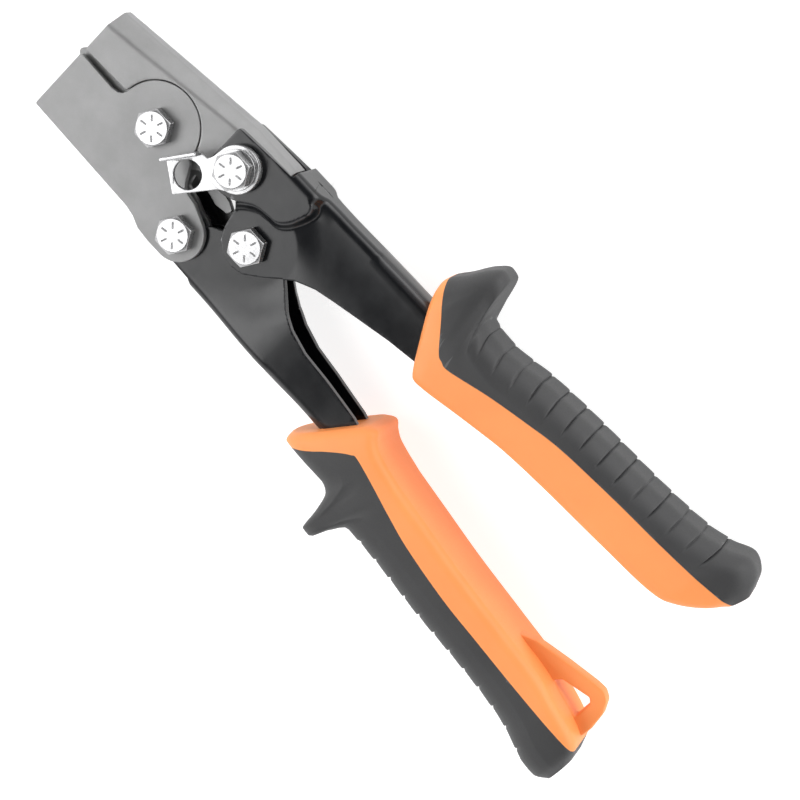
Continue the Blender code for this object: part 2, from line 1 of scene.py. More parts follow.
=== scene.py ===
"""Visual model of a hand crimper: fine meshes, procedural finishes, a pale floor and soft light.

Drawing coordinates are millimetres: the jaw bolt stands at (0, 0), +X runs to the grips, +Y to the
upper grip, and height 0 is the tool's middle plane.
"""
import json
import math

import bmesh
import bpy
import numpy as np
from mathutils import Matrix, Vector, geometry

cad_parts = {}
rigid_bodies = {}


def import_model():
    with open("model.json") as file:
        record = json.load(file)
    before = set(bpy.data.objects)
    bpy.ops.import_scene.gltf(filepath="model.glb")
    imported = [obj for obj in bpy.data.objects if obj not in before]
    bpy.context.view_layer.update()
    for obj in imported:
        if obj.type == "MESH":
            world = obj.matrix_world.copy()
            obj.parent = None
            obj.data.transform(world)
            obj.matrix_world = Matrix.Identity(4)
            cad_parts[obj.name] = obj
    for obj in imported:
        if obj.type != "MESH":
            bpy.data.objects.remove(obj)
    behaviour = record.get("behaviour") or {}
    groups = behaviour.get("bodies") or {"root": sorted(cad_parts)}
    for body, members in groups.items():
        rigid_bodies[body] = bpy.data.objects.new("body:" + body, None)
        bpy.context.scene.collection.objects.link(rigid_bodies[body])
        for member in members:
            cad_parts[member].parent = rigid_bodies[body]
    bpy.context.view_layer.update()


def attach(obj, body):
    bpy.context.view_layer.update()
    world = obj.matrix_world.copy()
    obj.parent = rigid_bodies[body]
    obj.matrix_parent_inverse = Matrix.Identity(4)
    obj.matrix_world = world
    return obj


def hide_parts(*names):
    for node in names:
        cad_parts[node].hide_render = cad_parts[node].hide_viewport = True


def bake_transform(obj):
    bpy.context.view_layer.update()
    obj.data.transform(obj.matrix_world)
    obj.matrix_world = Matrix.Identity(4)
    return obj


MM = 0.001
for old in list(bpy.data.objects):
    bpy.data.objects.remove(old, do_unlink=True)
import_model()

# The drawing's origin in the world, and the bolts' places in the drawing.
ORIGIN = Vector((-97.6, 2.3, 14.0))
JAW = (0.0, 0.0)
LOWER_JAW = (28.0, -18.7)
UPPER_JAW = (28.4, 12.0)
HANDLE = (46.9, -3.8)

# Heights of the plates' faces above the middle plane.
MIDDLE_BLADE = 1.15
INNER_BLADE = (2.05, 4.35)
JAW_PLATE = (5.3, 7.6)
RAISED = 10.1
LOBE = 7.5
CHANNEL = 5.8
LOWER_HEAD = 5.0
LATCH = (12.45, 13.8)
# Heights of a thin black sheet behind the gap by the lower jaw bolt: painted shade for the cavity there.
PAINTED_SHADE_SHEET = (-4.95, -4.6)
SHEET = 2.2

# Quarter-inch fasteners: the hexagon's corner radius, the head, the bolt's radius, the holes'
# radii, and the bevels. Then the heights of a bolt's seat and tip and of its nut: the raised ones
# are the bolt's that holds the latch.
HEX = 6.42
HEAD_HEIGHT = 4.0
MARK_RISE = 0.16
SHANK = 3.0
BOLT_HOLE = 3.4
FREE_HOLE = 3.6
HEX_EDGE = 0.12
HEX_ANGLE = 24
RING_EDGE = 0.15
SEAT = 7.9
TIP = -13.9
NUT = (-12.7, -7.9)
RAISED_SEAT = 14.9
RAISED_TIP = -13.8
RAISED_NUT = (-14.0, -10.4)


# Outlines

def arc(centre, radius, start, end, steps):
    """Points round a centre from one angle to another, in degrees."""
    points = []
    for i in range(steps + 1):
        angle = math.radians(start + (end - start) * i / steps)
        points.append((centre[0] + radius * math.cos(angle), centre[1] + radius * math.sin(angle)))
    return points


def circle(centre, radius, steps=72):
    """A closed outline without its repeated last point."""
    return arc(centre, radius, 0, 360, steps)[:-1]


def rounded(points, radius, steps=5):
    """The closed outline with each corner turned into a short curve."""
    made = []
    count = len(points)
    for i in range(count):
        before = Vector(points[i - 1])
        corner = Vector(points[i])
        after = Vector(points[(i + 1) % count])
        back, ahead = before - corner, after - corner
        turn = math.pi - back.angle(ahead)
        if turn < 0.05:
            made.append(tuple(corner))
            continue
        reach = min(radius * math.tan(turn / 2), back.length * 0.48, ahead.length * 0.48)
        start = corner + back.normalized() * reach
        end = corner + ahead.normalized() * reach
        for k in range(steps + 1):
            t = k / steps
            made.append(tuple(start * (1 - t) ** 2 + corner * 2 * t * (1 - t) + end * t * t))
    return made


def spline(rows, t):
    """Catmull-Rom value at t over rows of equal length; t counts rows."""
    i = min(max(int(t), 0), len(rows) - 2)
    f = t - i
    p0, p1, p2, p3 = (rows[min(max(j, 0), len(rows) - 1)] for j in (i - 1, i, i + 1, i + 2))
    value = []
    for a, b, c, d in zip(p0, p1, p2, p3):
        value.append(0.5 * (2 * b + (c - a) * f + (2 * a - 5 * b + 4 * c - d) * f * f
                            + (3 * b - 3 * c + d - a) * f ** 3))
    return value


def steady(stops, values, t):
    """Smooth value at t through the stops, never beyond its two neighbours."""
    gaps = np.diff(stops)
    slopes = np.diff(values) / gaps
    tangents = [slopes[0]]
    for i in range(1, len(slopes)):
        a, b = slopes[i - 1], slopes[i]
        if a * b <= 0:
            tangents.append(0.0)
        else:
            w1, w2 = 2 * gaps[i] + gaps[i - 1], gaps[i] + 2 * gaps[i - 1]
            tangents.append((w1 + w2) / (w1 / a + w2 / b))
    tangents.append(slopes[-1])
    i = min(max(int(np.searchsorted(stops, t)) - 1, 0), len(gaps) - 1)
    h = gaps[i]
    f = (t - stops[i]) / h
    return ((1 + 2 * f) * (1 - f) ** 2 * values[i] + f * (1 - f) ** 2 * h * tangents[i]
            + f * f * (3 - 2 * f) * values[i + 1] + f * f * (f - 1) * h * tangents[i + 1])


def smooth_line(rows, steps):
    """The spline through the rows, with steps points between each two."""
    return [tuple(spline(rows, i / steps)) for i in range((len(rows) - 1) * steps + 1)]


def table(rows, x):
    """Straight-line value at x from rows of (x, value)."""
    return float(np.interp(x, [row[0] for row in rows], [row[1] for row in rows]))


def ease(x, low, high):
    """A smooth rise from 0 at low to 1 at high."""
    t = min(max((x - low) / (high - low), 0.0), 1.0)
    return t * t * (3 - 2 * t)


def resample(points, spacing):
    """The closed outline with long edges divided."""
    made = []
    for a, b in zip(points, points[1:] + points[:1]):
        a, b = Vector(a), Vector(b)
        steps = max(1, math.ceil((b - a).length / spacing))
        made += [tuple(a.lerp(b, i / steps)) for i in range(steps)]
    return made


# Objects

def piece(name, mesh, body, finish, nodes, flat=False):
    """Places a mesh made in drawing millimetres, and lets it stand for CAD nodes."""
    mesh.transform(Matrix.Scale(MM, 4) @ Matrix.Translation(ORIGIN))
    mesh.materials.clear()
    mesh.materials.append(MATERIALS[finish])
    mesh.shade_smooth()
    if flat:
        for face in mesh.polygons:
            face.use_smooth = abs(face.normal.z) < 0.9999
    obj = bpy.data.objects.new(name, mesh)
    bpy.context.scene.collection.objects.link(obj)
    if body:
        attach(obj, body)
    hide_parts(*nodes)
    return obj


def soften_edges(obj, width, angle):
    """Rounds the edges that are sharper than an angle."""
    bevel = obj.modifiers.new("edges", "BEVEL")
    bevel.width = width * MM
    bevel.segments = 2
    bevel.limit_method = "ANGLE"
    bevel.angle_limit = math.radians(angle)
    bevel.use_clamp_overlap = False
    weigh(obj)
    return obj


def weigh(obj):
    """Shades by the large faces, so that narrow rims stay crisp."""
    obj.modifiers.new("shading", "WEIGHTED_NORMAL").keep_sharp = True
    return obj


def mesh_of(name, verts, faces):
    """A mesh from lists of points and faces."""
    mesh = bpy.data.meshes.new(name)
    mesh.from_pydata([tuple(v) for v in verts], [], faces)
    mesh.update()
    return mesh


def inset(points, amount):
    """The closed outline moved to its left by amount, corner by corner."""
    moved = []
    count = len(points)
    for i in range(count):
        a = (Vector(points[i]) - Vector(points[i - 1])).normalized()
        b = (Vector(points[(i + 1) % count]) - Vector(points[i])).normalized()
        normal = Vector((-(a.y + b.y), a.x + b.x))
        if normal.length < 1e-6:
            normal = Vector((-a.y, a.x))
        normal.normalize()
        share = max(normal.dot(Vector((-a.y, a.x))), 0.5)
        moved.append(tuple(Vector(points[i]) + normal * amount / share))
    return moved


def area(points):
    """The closed outline's area, positive when it runs anticlockwise."""
    return sum(a[0] * b[1] - a[1] * b[0] for a, b in zip(points, points[1:] + points[:1])) / 2


def plate_mesh(name, outlines, low, high, edge=0.22):
    """A flat plate with rounded rims; the first outline is filled and the others are holes."""
    loops = []
    for k, outline in enumerate(outlines):
        if (area(outline) > 0) != (k == 0):
            outline = outline[::-1]
        loops.append(outline)
    profile = [(edge, low), (0.3 * edge, low + 0.3 * edge), (0, low + edge),
               (0, high - edge), (0.3 * edge, high - 0.3 * edge), (edge, high)]
    verts, faces, starts = [], [], []
    for outline in loops:
        start = len(verts)
        starts.append(start)
        count = len(outline)
        for amount, z in profile:
            verts += [(x, y, z) for x, y in inset(outline, amount)]
        for k in range(len(profile) - 1):
            for i in range(count):
                j = (i + 1) % count
                a = start + k * count
                faces.append((a + i, a + j, a + count + j, a + count + i))
    for level, flip in ((0, True), (len(profile) - 1, False)):
        index = []
        rings = []
        for outline, start in zip(loops, starts):
            first = start + level * len(outline)
            index += range(first, first + len(outline))
            rings.append([Vector(verts[i]) for i in range(first, first + len(outline))])
        for triangle in geometry.tessellate_polygon(rings):
            face = [index[i] for i in triangle]
            a, b, c = (Vector(verts[i]) for i in face)
            if ((b - a).cross(c - a).z < 0) != flip:
                face.reverse()
            faces.append(face)
    return mesh_of(name, verts, faces)


def plate(name, outlines, low, high, body, finish, nodes, edge=0.22):
    """A flat plate as a piece that rides on a body."""
    return weigh(piece(name, plate_mesh(name, outlines, low, high, edge), body, finish, nodes, True))


def boolean(obj, other, operation):
    """Applies a Boolean with another object, which is then removed."""
    modifier = obj.modifiers.new("cut", "BOOLEAN")
    modifier.operation = operation
    modifier.object = other
    graph = bpy.context.evaluated_depsgraph_get()
    mesh = bpy.data.meshes.new_from_object(obj.evaluated_get(graph))
    obj.modifiers.clear()
    obj.data = mesh
    bpy.data.objects.remove(other, do_unlink=True)


def helper(mesh):
    """A plain object for a Boolean."""
    obj = bpy.data.objects.new("helper", mesh)
    bpy.context.scene.collection.objects.link(obj)
    return obj


# Finishes

class Nodes:
    """A material's node tree with the object's own coordinates ready for textures."""

    def __init__(self, name):
        self.material = bpy.data.materials.new(name)
        self.material.use_nodes = True
        self.tree = self.material.node_tree
        self.shader = self.tree.nodes["Principled BSDF"]
        self.place = self.tree.nodes.new("ShaderNodeTexCoord").outputs["Object"]

    def add(self, kind, **values):
        node = self.tree.nodes.new("ShaderNode" + kind)
        for key, value in values.items():
            setattr(node, key, value)
        return node

    def link(self, output, socket):
        self.tree.links.new(output, socket)

    def noise(self, scale, detail, rough):
        node = self.add("TexNoise")
        node.inputs["Scale"].default_value = scale
        node.inputs["Detail"].default_value = detail
        node.inputs["Roughness"].default_value = rough
        self.link(self.place, node.inputs["Vector"])
        return node.outputs["Fac"]

    def remap(self, value, low, high, start=0.3, end=0.7):
        """Spreads the values between start and end over low to high."""
        node = self.add("MapRange")
        node.inputs["From Min"].default_value = start
        node.inputs["From Max"].default_value = end
        node.inputs["To Min"].default_value = low
        node.inputs["To Max"].default_value = high
        self.link(value, node.inputs["Value"])
        return node.outputs["Result"]

    def colours(self, value, first, second):
        """Mixes two colours by a value from 0 to 1."""
        node = self.add("Mix", data_type="RGBA")
        node.inputs["A"].default_value = (*first, 1.0)
        node.inputs["B"].default_value = (*second, 1.0)
        self.link(value, node.inputs["Factor"])
        return node.outputs["Result"]

    def rims(self, colour, bright, amount):
        """Paints a highlight on convex edges: their colour is lightened towards a bright grey."""
        # Painted highlight: convex edges get a lighter colour, standing in for the light they catch.
        pointed = self.add("NewGeometry").outputs["Pointiness"]
        value = self.remap(pointed, 0.0, amount, 0.53, 0.6)
        node = self.add("Mix", data_type="RGBA")
        self.link(value, node.inputs["Factor"])
        self.link(colour, node.inputs["A"])
        node.inputs["B"].default_value = (*bright, 1.0)
        return node.outputs["Result"]

    def bump(self, height, distance, strength):
        """Relief of a depth in millimetres."""
        node = self.add("Bump")
        node.inputs["Distance"].default_value = distance * MM
        node.inputs["Strength"].default_value = strength
        self.link(height, node.inputs["Height"])
        self.link(node.outputs["Normal"], self.shader.inputs["Normal"])

    def set(self, **values):
        """Sets the shader's own sockets, whose names are written with underscores."""
        for key, value in values.items():
            self.shader.inputs[key.replace("_", " ")].default_value = value


def steel():
    """Satin steel with a fine grain and faint clouds."""
    n = Nodes("silver_steel")
    grain = n.noise(2600.0, 4.0, 0.65)
    cloud = n.noise(90.0, 4.0, 0.6)
    base = n.colours(n.remap(cloud, 0.0, 1.0), (0.23, 0.23, 0.23), (0.265, 0.265, 0.266))
    n.link(base, n.shader.inputs["Base Color"])
    n.link(n.remap(grain, 0.42, 0.56), n.shader.inputs["Roughness"])
    n.bump(grain, 0.02, 0.35)
    n.set(Metallic=0.55)
    return n.material


def paint():
    """Glossy black paint, with a highlight painted along its convex edges."""
    n = Nodes("black_paint")
    peel = n.noise(700.0, 2.0, 0.5)
    dust = n.noise(160.0, 5.0, 0.6)
    base = n.colours(n.remap(dust, 0.0, 1.0), (0.002, 0.0024, 0.0034), (0.004, 0.0046, 0.006))
    # The rims are a painted highlight: convex edges turn grey.
    n.link(n.rims(base, (0.22, 0.22, 0.23), 0.6), n.shader.inputs["Base Color"])
    n.link(n.remap(dust, 0.20, 0.27), n.shader.inputs["Roughness"])
    n.bump(peel, 0.004, 0.3)
    n.set(Metallic=0.0, IOR=1.45)
    return n.material


def zinc():
    """Bright zinc plating with a fine brushed surface."""
    n = Nodes("bright_zinc")
    brushed = n.noise(1800.0, 3.0, 0.6)
    cloud = n.noise(220.0, 3.0, 0.5)
    base = n.colours(n.remap(cloud, 0.0, 1.0), (0.37, 0.37, 0.375), (0.44, 0.44, 0.445))
    n.link(base, n.shader.inputs["Base Color"])
    n.link(n.remap(brushed, 0.22, 0.34), n.shader.inputs["Roughness"])
    n.bump(brushed, 0.006, 0.3)
    n.set(Metallic=0.9)
    return n.material


def orange():
    """Smooth moulded plastic that takes a little light in."""
    n = Nodes("orange_grip")
    skin = n.noise(1500.0, 3.0, 0.6)
    cloud = n.noise(40.0, 3.0, 0.5)
    base = n.colours(n.remap(cloud, 0.0, 1.0), (0.86, 0.285, 0.078), (0.92, 0.315, 0.09))
    n.link(base, n.shader.inputs["Base Color"])
    n.link(n.remap(skin, 0.46, 0.58), n.shader.inputs["Roughness"])
    n.bump(skin, 0.012, 0.3)
    n.set(Subsurface_Weight=0.08, Subsurface_Scale=0.002)
    return n.material


def grey():
    """Soft rubber, with a highlight painted along its convex edges."""
    n = Nodes("grey_grip")
    skin = n.noise(1900.0, 4.0, 0.6)
    cloud = n.noise(60.0, 3.0, 0.5)
    base = n.colours(n.remap(cloud, 0.0, 1.0), (0.027, 0.027, 0.028), (0.034, 0.034, 0.035))
    # The rims are a painted highlight: convex edges turn pale grey.
    n.link(n.rims(base, (0.16, 0.16, 0.16), 0.4), n.shader.inputs["Base Color"])
    n.link(n.remap(skin, 0.52, 0.64), n.shader.inputs["Roughness"])
    n.bump(skin, 0.02, 0.35)
    return n.material


def spring_wire():
    """Plain drawn wire."""
    n = Nodes("spring_steel")
    drawn = n.noise(900.0, 3.0, 0.6)
    base = n.colours(n.remap(drawn, 0.0, 1.0), (0.26, 0.26, 0.27), (0.38, 0.38, 0.39))
    n.link(base, n.shader.inputs["Base Color"])
    n.link(n.remap(drawn, 0.3, 0.42), n.shader.inputs["Roughness"])
    n.bump(drawn, 0.01, 0.3)
    n.set(Metallic=1.0)
    return n.material


MATERIALS = {
    "silver_steel": steel(),
    "black_paint": paint(),
    "bright_zinc": zinc(),
    "orange_grip": orange(),
    "grey_grip": grey(),
    "spring_steel": spring_wire(),
}


# Fasteners

def hex_mesh(name, centre, low, high, chamfer_low=False, steps=96):
    """A hexagonal head whose corners are turned down to a round face."""
    half_turn = math.radians(30)
    flat = HEX * math.cos(half_turn)
    face = flat * 0.93
    side_inset = 0.05
    rows = []
    for level in ("low_face", "low_side", "high_side", "high_face"):
        row = []
        for i in range(steps):
            angle = 2 * math.pi * i / steps
            turned = (angle + half_turn) % (2 * half_turn) - half_turn
            reach = flat / math.cos(half_turn - abs(turned))
            drop = (reach - face) * 0.5
            radius = face if level.endswith("face") else reach - side_inset
            z = high - (drop if level == "high_side" else 0.0)
            if level.startswith("low"):
                z = low + (drop if chamfer_low and level == "low_side" else 0.0)
                if not chamfer_low:
                    radius = reach - side_inset
                    z = low if level == "low_face" else low + side_inset
            row.append((centre[0] + radius * math.cos(angle), centre[1] + radius * math.sin(angle), z))
        rows.append(row)
    return loft(name, rows)


def loft(name, rows):
    """A closed surface through rings of the same number of points."""
    verts = [point for row in rows for point in row]
    count = len(rows[0])
    faces = []
    for k in range(len(rows) - 1):
        for i in range(count):
            j = (i + 1) % count
            faces.append((k * count + i, k * count + j, (k + 1) * count + j, (k + 1) * count + i))
    faces.append(tuple(reversed(range(count))))
    faces.append(tuple(range((len(rows) - 1) * count, len(rows) * count)))
    mesh = mesh_of(name, verts, faces)
    edited = bmesh.new()
    edited.from_mesh(mesh)
    bmesh.ops.recalc_face_normals(edited, faces=edited.faces)
    edited.to_mesh(mesh)
    edited.free()
    return mesh


def join(name, meshes):
    """One mesh from several."""
    edited = bmesh.new()
    for mesh in meshes:
        edited.from_mesh(mesh)
    joined = bpy.data.meshes.new(name)
    edited.to_mesh(joined)
    edited.free()
    return joined


def rod_mesh(centre, radius, low, high):
    """A round rod whose lower end is chamfered."""
    tip = 0.5
    rows = []
    for z, r in ((low, radius - tip), (low + tip, radius), (high, radius)):
        rows.append([(x, y, z) for x, y in circle(centre, r, 48)])
    return loft("rod", rows)


def mark_meshes(centre, top):
    """Six short raised strokes round the head's face."""
    inner, outer, half_width = 2.4, 4.0, 0.32
    stroke = arc((inner, 0), half_width, 90, 270, 8) + arc((outer, 0), half_width, -90, 90, 8)
    made = []
    for k in range(6):
        turn = Matrix.Rotation(math.radians(60 * k + 12), 2)
        outline = [tuple(turn @ Vector(p) + Vector(centre)) for p in stroke]
        made.append(plate_mesh("mark", [outline], top - 0.1, top + MARK_RISE, 0.1))
    return made


def bolt(node, centre, seat, tip, body):
    """A marked hexagon head on a shank, standing for its CAD node."""
    name = node + "_fine"
    face = seat + HEAD_HEIGHT - MARK_RISE
    meshes = [hex_mesh(name, centre, seat, face), rod_mesh(centre, SHANK, tip, seat + 1.0)]
    meshes += mark_meshes(centre, face)
    soften_edges(piece(name, join(name, meshes), body, "bright_zinc", [node]), HEX_EDGE, HEX_ANGLE)


def nut(node, centre, low, high, body):
    """A hexagon chamfered on both faces, standing for its CAD node."""
    name = node + "_fine"
    mesh = hex_mesh(name, centre, low, high, True)
    soften_edges(piece(name, mesh, body, "bright_zinc", [node]), HEX_EDGE, HEX_ANGLE)


def ring(name, centre, radius, low, high, body):
    """A washer, spacer or bushing round a bolt, standing for the CAD node of its name."""
    low, high = sorted((low, high))
    outlines = [circle(centre, radius), circle(centre, BOLT_HOLE - 0.1, 48)]
    plate(name, outlines, low, high, body, "bright_zinc", [name], RING_EDGE)


def fasteners():
    """A bolt and a nut at each of the four pivots."""
    for name, centre, body in (("jaw_pivot", JAW, "lower_jaw"), ("lower_jaw", LOWER_JAW, "lower_jaw"),
                               ("handle_pivot", HANDLE, "upper_handle")):
        bolt(name + "_bolt", centre, SEAT, TIP, body)
        nut(name + "_nut", centre, *NUT, body)
    bolt("upper_jaw_bolt", UPPER_JAW, RAISED_SEAT, RAISED_TIP, "upper_handle")
    nut("upper_jaw_nut", UPPER_JAW, *RAISED_NUT, "upper_handle")


def washers():
    """The washers on both sides of the middle plane, and the two bushings across it."""
    for side, sign in (("front", 1), ("back", -1)):
        for label, body, centre, low, high in (
            ("jaw_pivot_inner_washer", "lower_jaw", JAW, 1.4, 1.8),
            ("jaw_pivot_outer_washer", "lower_jaw", JAW, 4.6, 5.05),
            ("upper_jaw_washer", "upper_jaw", UPPER_JAW, 4.6, 5.05),
            ("lower_jaw_washer", "lower_jaw", LOWER_JAW, 1.4, 2.55),
        ):
            ring(f"{label}_{side}", centre, 6.0, sign * low, sign * high, body)
    ring("upper_jaw_bushing", UPPER_JAW, 3.9, -1.8, 1.8, "upper_jaw")
    ring("handle_pivot_bushing", HANDLE, 4.8, -2.55, 2.55, "lower_handle")


# Folded sheets. Their meshes get coarser at an x beyond which they are nearly straight.

COARSE = 1.8
COARSE_FROM = 76


def inside(outline, points):
    """Which of the points (an array) lie inside the closed outline."""
    edges = np.array(outline)
    following = np.roll(edges, -1, axis=0)
    x, y = points[:, 0:1], points[:, 1:2]
    crosses = (edges[:, 1] > y) != (following[:, 1] > y)
    slope = (following[:, 0] - edges[:, 0]) / (following[:, 1] - edges[:, 1] + 1e-12)
    return (crosses & (x < edges[:, 0] + slope * (y - edges[:, 1]))).sum(axis=1) % 2 == 1


def clear_of(outline, points, gap):
    """Which of the points are further than a gap from the closed outline."""
    a = np.array(outline)
    b = np.roll(a, -1, axis=0)
    along = b - a
    length = (along ** 2).sum(axis=1) + 1e-12
    offset = points[:, None, :] - a[None]
    share = np.clip((offset * along[None]).sum(axis=2) / length, 0, 1)
    nearest = ((offset - share[..., None] * along[None]) ** 2).sum(axis=2).min(axis=1)
    return nearest > gap * gap


def flat_mesh(outline, holes, fine):
    """Triangles filling the outline: a fine grid up to COARSE_FROM, a coarse one beyond."""
    xs = [p[0] for p in outline]
    ys = [p[1] for p in outline]
    grid = []
    for spacing, low, high in ((fine, min(xs), min(COARSE_FROM, max(xs))),
                               (COARSE, COARSE_FROM, max(xs))):
        if high > low:
            for x in np.arange(low + spacing / 2, high, spacing):
                for y in np.arange(min(ys) + spacing / 2, max(ys), spacing):
                    grid.append((x, y))
    grid = np.array(grid)
    grid = grid[inside(outline, grid) & clear_of(outline, grid, fine * 0.5)]
    for hole in holes:
        grid = grid[~inside(hole, grid) & clear_of(hole, grid, fine * 0.5)]
    points, edges = [], []
    for loop in [outline] + holes:
        first = len(points)
        points += [Vector(p) for p in loop]
        edges += [(first + i, first + (i + 1) % len(loop)) for i in range(len(loop))]
    points += [Vector(p) for p in grid]
    found = geometry.delaunay_2d_cdt(points, edges, [], 1, 1e-5)
    verts = [tuple(p) for p in found[0]]
    middles = np.array([np.mean([verts[i] for i in face], axis=0) for face in found[2]])
    keep = inside(outline, middles)
    for hole in holes:
        keep &= ~inside(hole, middles)
    return verts, [tuple(face) for face, kept in zip(found[2], keep) if kept]


def sheet_mesh(name, outline, holes, place, fine):
    """A mirrored sheet: the outline's (x, unfolded y) points are placed by a function."""
    verts, faces = flat_mesh(outline, holes, fine)
    front = [place(x, v) for x, v in verts]
    count = len(front)
    rising = 0.0
    for a, b, c in faces:
        side = (Vector(front[b]) - Vector(front[a])).cross(Vector(front[c]) - Vector(front[a]))
        rising += side.z
    if rising < 0:
        faces = [face[::-1] for face in faces]
    back = [(x, y, -z) for x, y, z in front]
    mirrored = [tuple(i + count for i in face[::-1]) for face in faces]
    mesh = mesh_of(name, front + back, faces + mirrored)
    edited = bmesh.new()
    edited.from_mesh(mesh)
    middle = [vert for vert in edited.verts if abs(vert.co.z) < 0.02]
    bmesh.ops.remove_doubles(edited, verts=middle, dist=0.03)
    edited.to_mesh(mesh)
    edited.free()
    return mesh


def sheet(name, mesh, body, finish, nodes):
    """Gives a mesh of a sheet's outer face its thickness and its rounded rims."""
    obj = piece(name, mesh, body, finish, nodes)
    wall = obj.modifiers.new("wall", "SOLIDIFY")
    wall.thickness = SHEET * MM
    wall.offset = -1
    wall.use_even_offset = True
    soften_edges(obj, 0.16, 55)


def folded(corners, radii, s):
    """The point at length s along a bent line whose corners are rounded."""
    points = [Vector(p) for p in corners]
    lengths = [(b - a).length for a, b in zip(points, points[1:])]
    starts = [sum(lengths[:i]) for i in range(len(lengths) + 1)]
    for i, radius in enumerate(radii, start=1):
        back = (points[i - 1] - points[i]).normalized()
        ahead = (points[i + 1] - points[i]).normalized()
        turn = math.pi - back.angle(ahead)
        reach = min(radius * math.tan(turn / 2), lengths[i - 1] * 0.9, lengths[i] * 0.9)
        if abs(s - starts[i]) < reach:
            t = (s - starts[i] + reach) / (2 * reach)
            start, end = points[i] + back * reach, points[i] + ahead * reach
            return start * (1 - t) ** 2 + points[i] * 2 * t * (1 - t) + end * t * t
    for i, length in enumerate(lengths):
        if s <= starts[i + 1] or i == len(lengths) - 1:
            return points[i] + (points[i + 1] - points[i]) * ((s - starts[i]) / max(length, 1e-9))


def beside(line, x, y):
    """Signed distance to an open line, positive on its left."""
    best, sign = 1e9, 1.0
    for (ax, ay), (bx, by) in zip(line, line[1:]):
        dx, dy = bx - ax, by - ay
        share = ((x - ax) * dx + (y - ay) * dy) / (dx * dx + dy * dy)
        share = min(max(share, 0.0), 1.0)
        distance = math.hypot(x - ax - dx * share, y - ay - dy * share)
        if distance < best - 1e-9:
            best = distance
            sign = 1.0 if dx * (y - ay) - dy * (x - ax) >= 0 else -1.0
    return best * sign


# Jaws

def lower_jaw():
    """Two outer plates, and a middle blade with a notch behind the gap below the latch."""
    outline = [(-33.6, -24.6), (-33.6, -2.0), (-19.0, -2.3), (-16.6, -1.8), (-15.3, -0.7), (-14.6, 0.9)]
    outline += arc(JAW, 14.5, 174, 2, 60)
    outline += [(15.5, 0.1), (17.2, -2.7), (18.7, -5.4), (19.9, -6.8), (21.8, -7.3), (25.3, -7.8)]
    outline += arc(LOWER_JAW, 8.9, 72, -88, 40)
    outline += [(22.5, -27.7), (17.5, -27.3), (13.6, -25.7), (10.0, -25.1)]
    outline = rounded(outline[::-1], 0.8)
    holes = [circle(JAW, BOLT_HOLE), circle(LOWER_JAW, BOLT_HOLE)]
    for side, sign in (("front", 1), ("back", -1)):
        low, high = sorted((sign * JAW_PLATE[0], sign * JAW_PLATE[1]))
        name = f"lower_jaw_{side}_plate"
        plate(name + "_fine", [outline] + holes, low, high, "lower_jaw", "silver_steel", [name])
    blade = [(-33.0, -24.0), (-33.0, 2.2), (-16.0, 3.4)] + arc(JAW, 10.0, 150, 30, 24)
    blade += [(15.5, 0.8), (22.0, 0.2), (27.5, -0.3), (31.5, -1.0), (34.4, -2.4), (33.6, -4.4)]
    blade += [(29.0, -5.2), (22.0, -3.6), (17.4, -3.2), (18.6, -7.4), (24.0, -8.6)]
    blade += arc(LOWER_JAW, 8.6, 90, -90, 40) + [(13.0, -25.0)]
    blade = rounded(blade[::-1], 0.9)
    plate("lower_jaw_middle_blade_fine", [blade] + holes, -MIDDLE_BLADE, MIDDLE_BLADE, "lower_jaw",
          "silver_steel", ["lower_jaw_middle_blade"])


WALL_TOP = [(-33.4, 10.8), (-18.0, 13.0), (0.0, 16.1), (17.9, 18.9), (33.0, 20.3), (40.7, 20.9)]
SPINE = [(-33.6, 15.9), (22.0, 22.65), (38.6, 22.8), (40.7, 22.6)]
SPINE_HALF = [(-33.6, 2.6), (22.0, 3.7), (40.7, 4.0)]
RIDGE_START = 20.0
RIDGE_BENDS = (1.6, 1.4)
JAW_ENDS = (-33.4, 40.7)


def ridge_corners(x):
    """The channel's section at x, as (y, height): its wall, bevel and spine."""
    wall, spine, half = table(WALL_TOP, x), table(SPINE, x), table(SPINE_HALF, x)
    return [(-RIDGE_START, JAW_PLATE[1]), (wall, JAW_PLATE[1]), (spine, half), (spine, 0.0)]


def ridge_end(x):
    """The unfolded y at which the section reaches the middle plane."""
    corners = [Vector(p) for p in ridge_corners(x)]
    return sum((b - a).length for a, b in zip(corners, corners[1:])) - RIDGE_START


def place_upper_jaw(x, v):
    """Where an unfolded point of the channel lies."""
    y, z = folded(ridge_corners(x), RIDGE_BENDS, v + RIDGE_START)
    return x, y, max(z, 0.0)


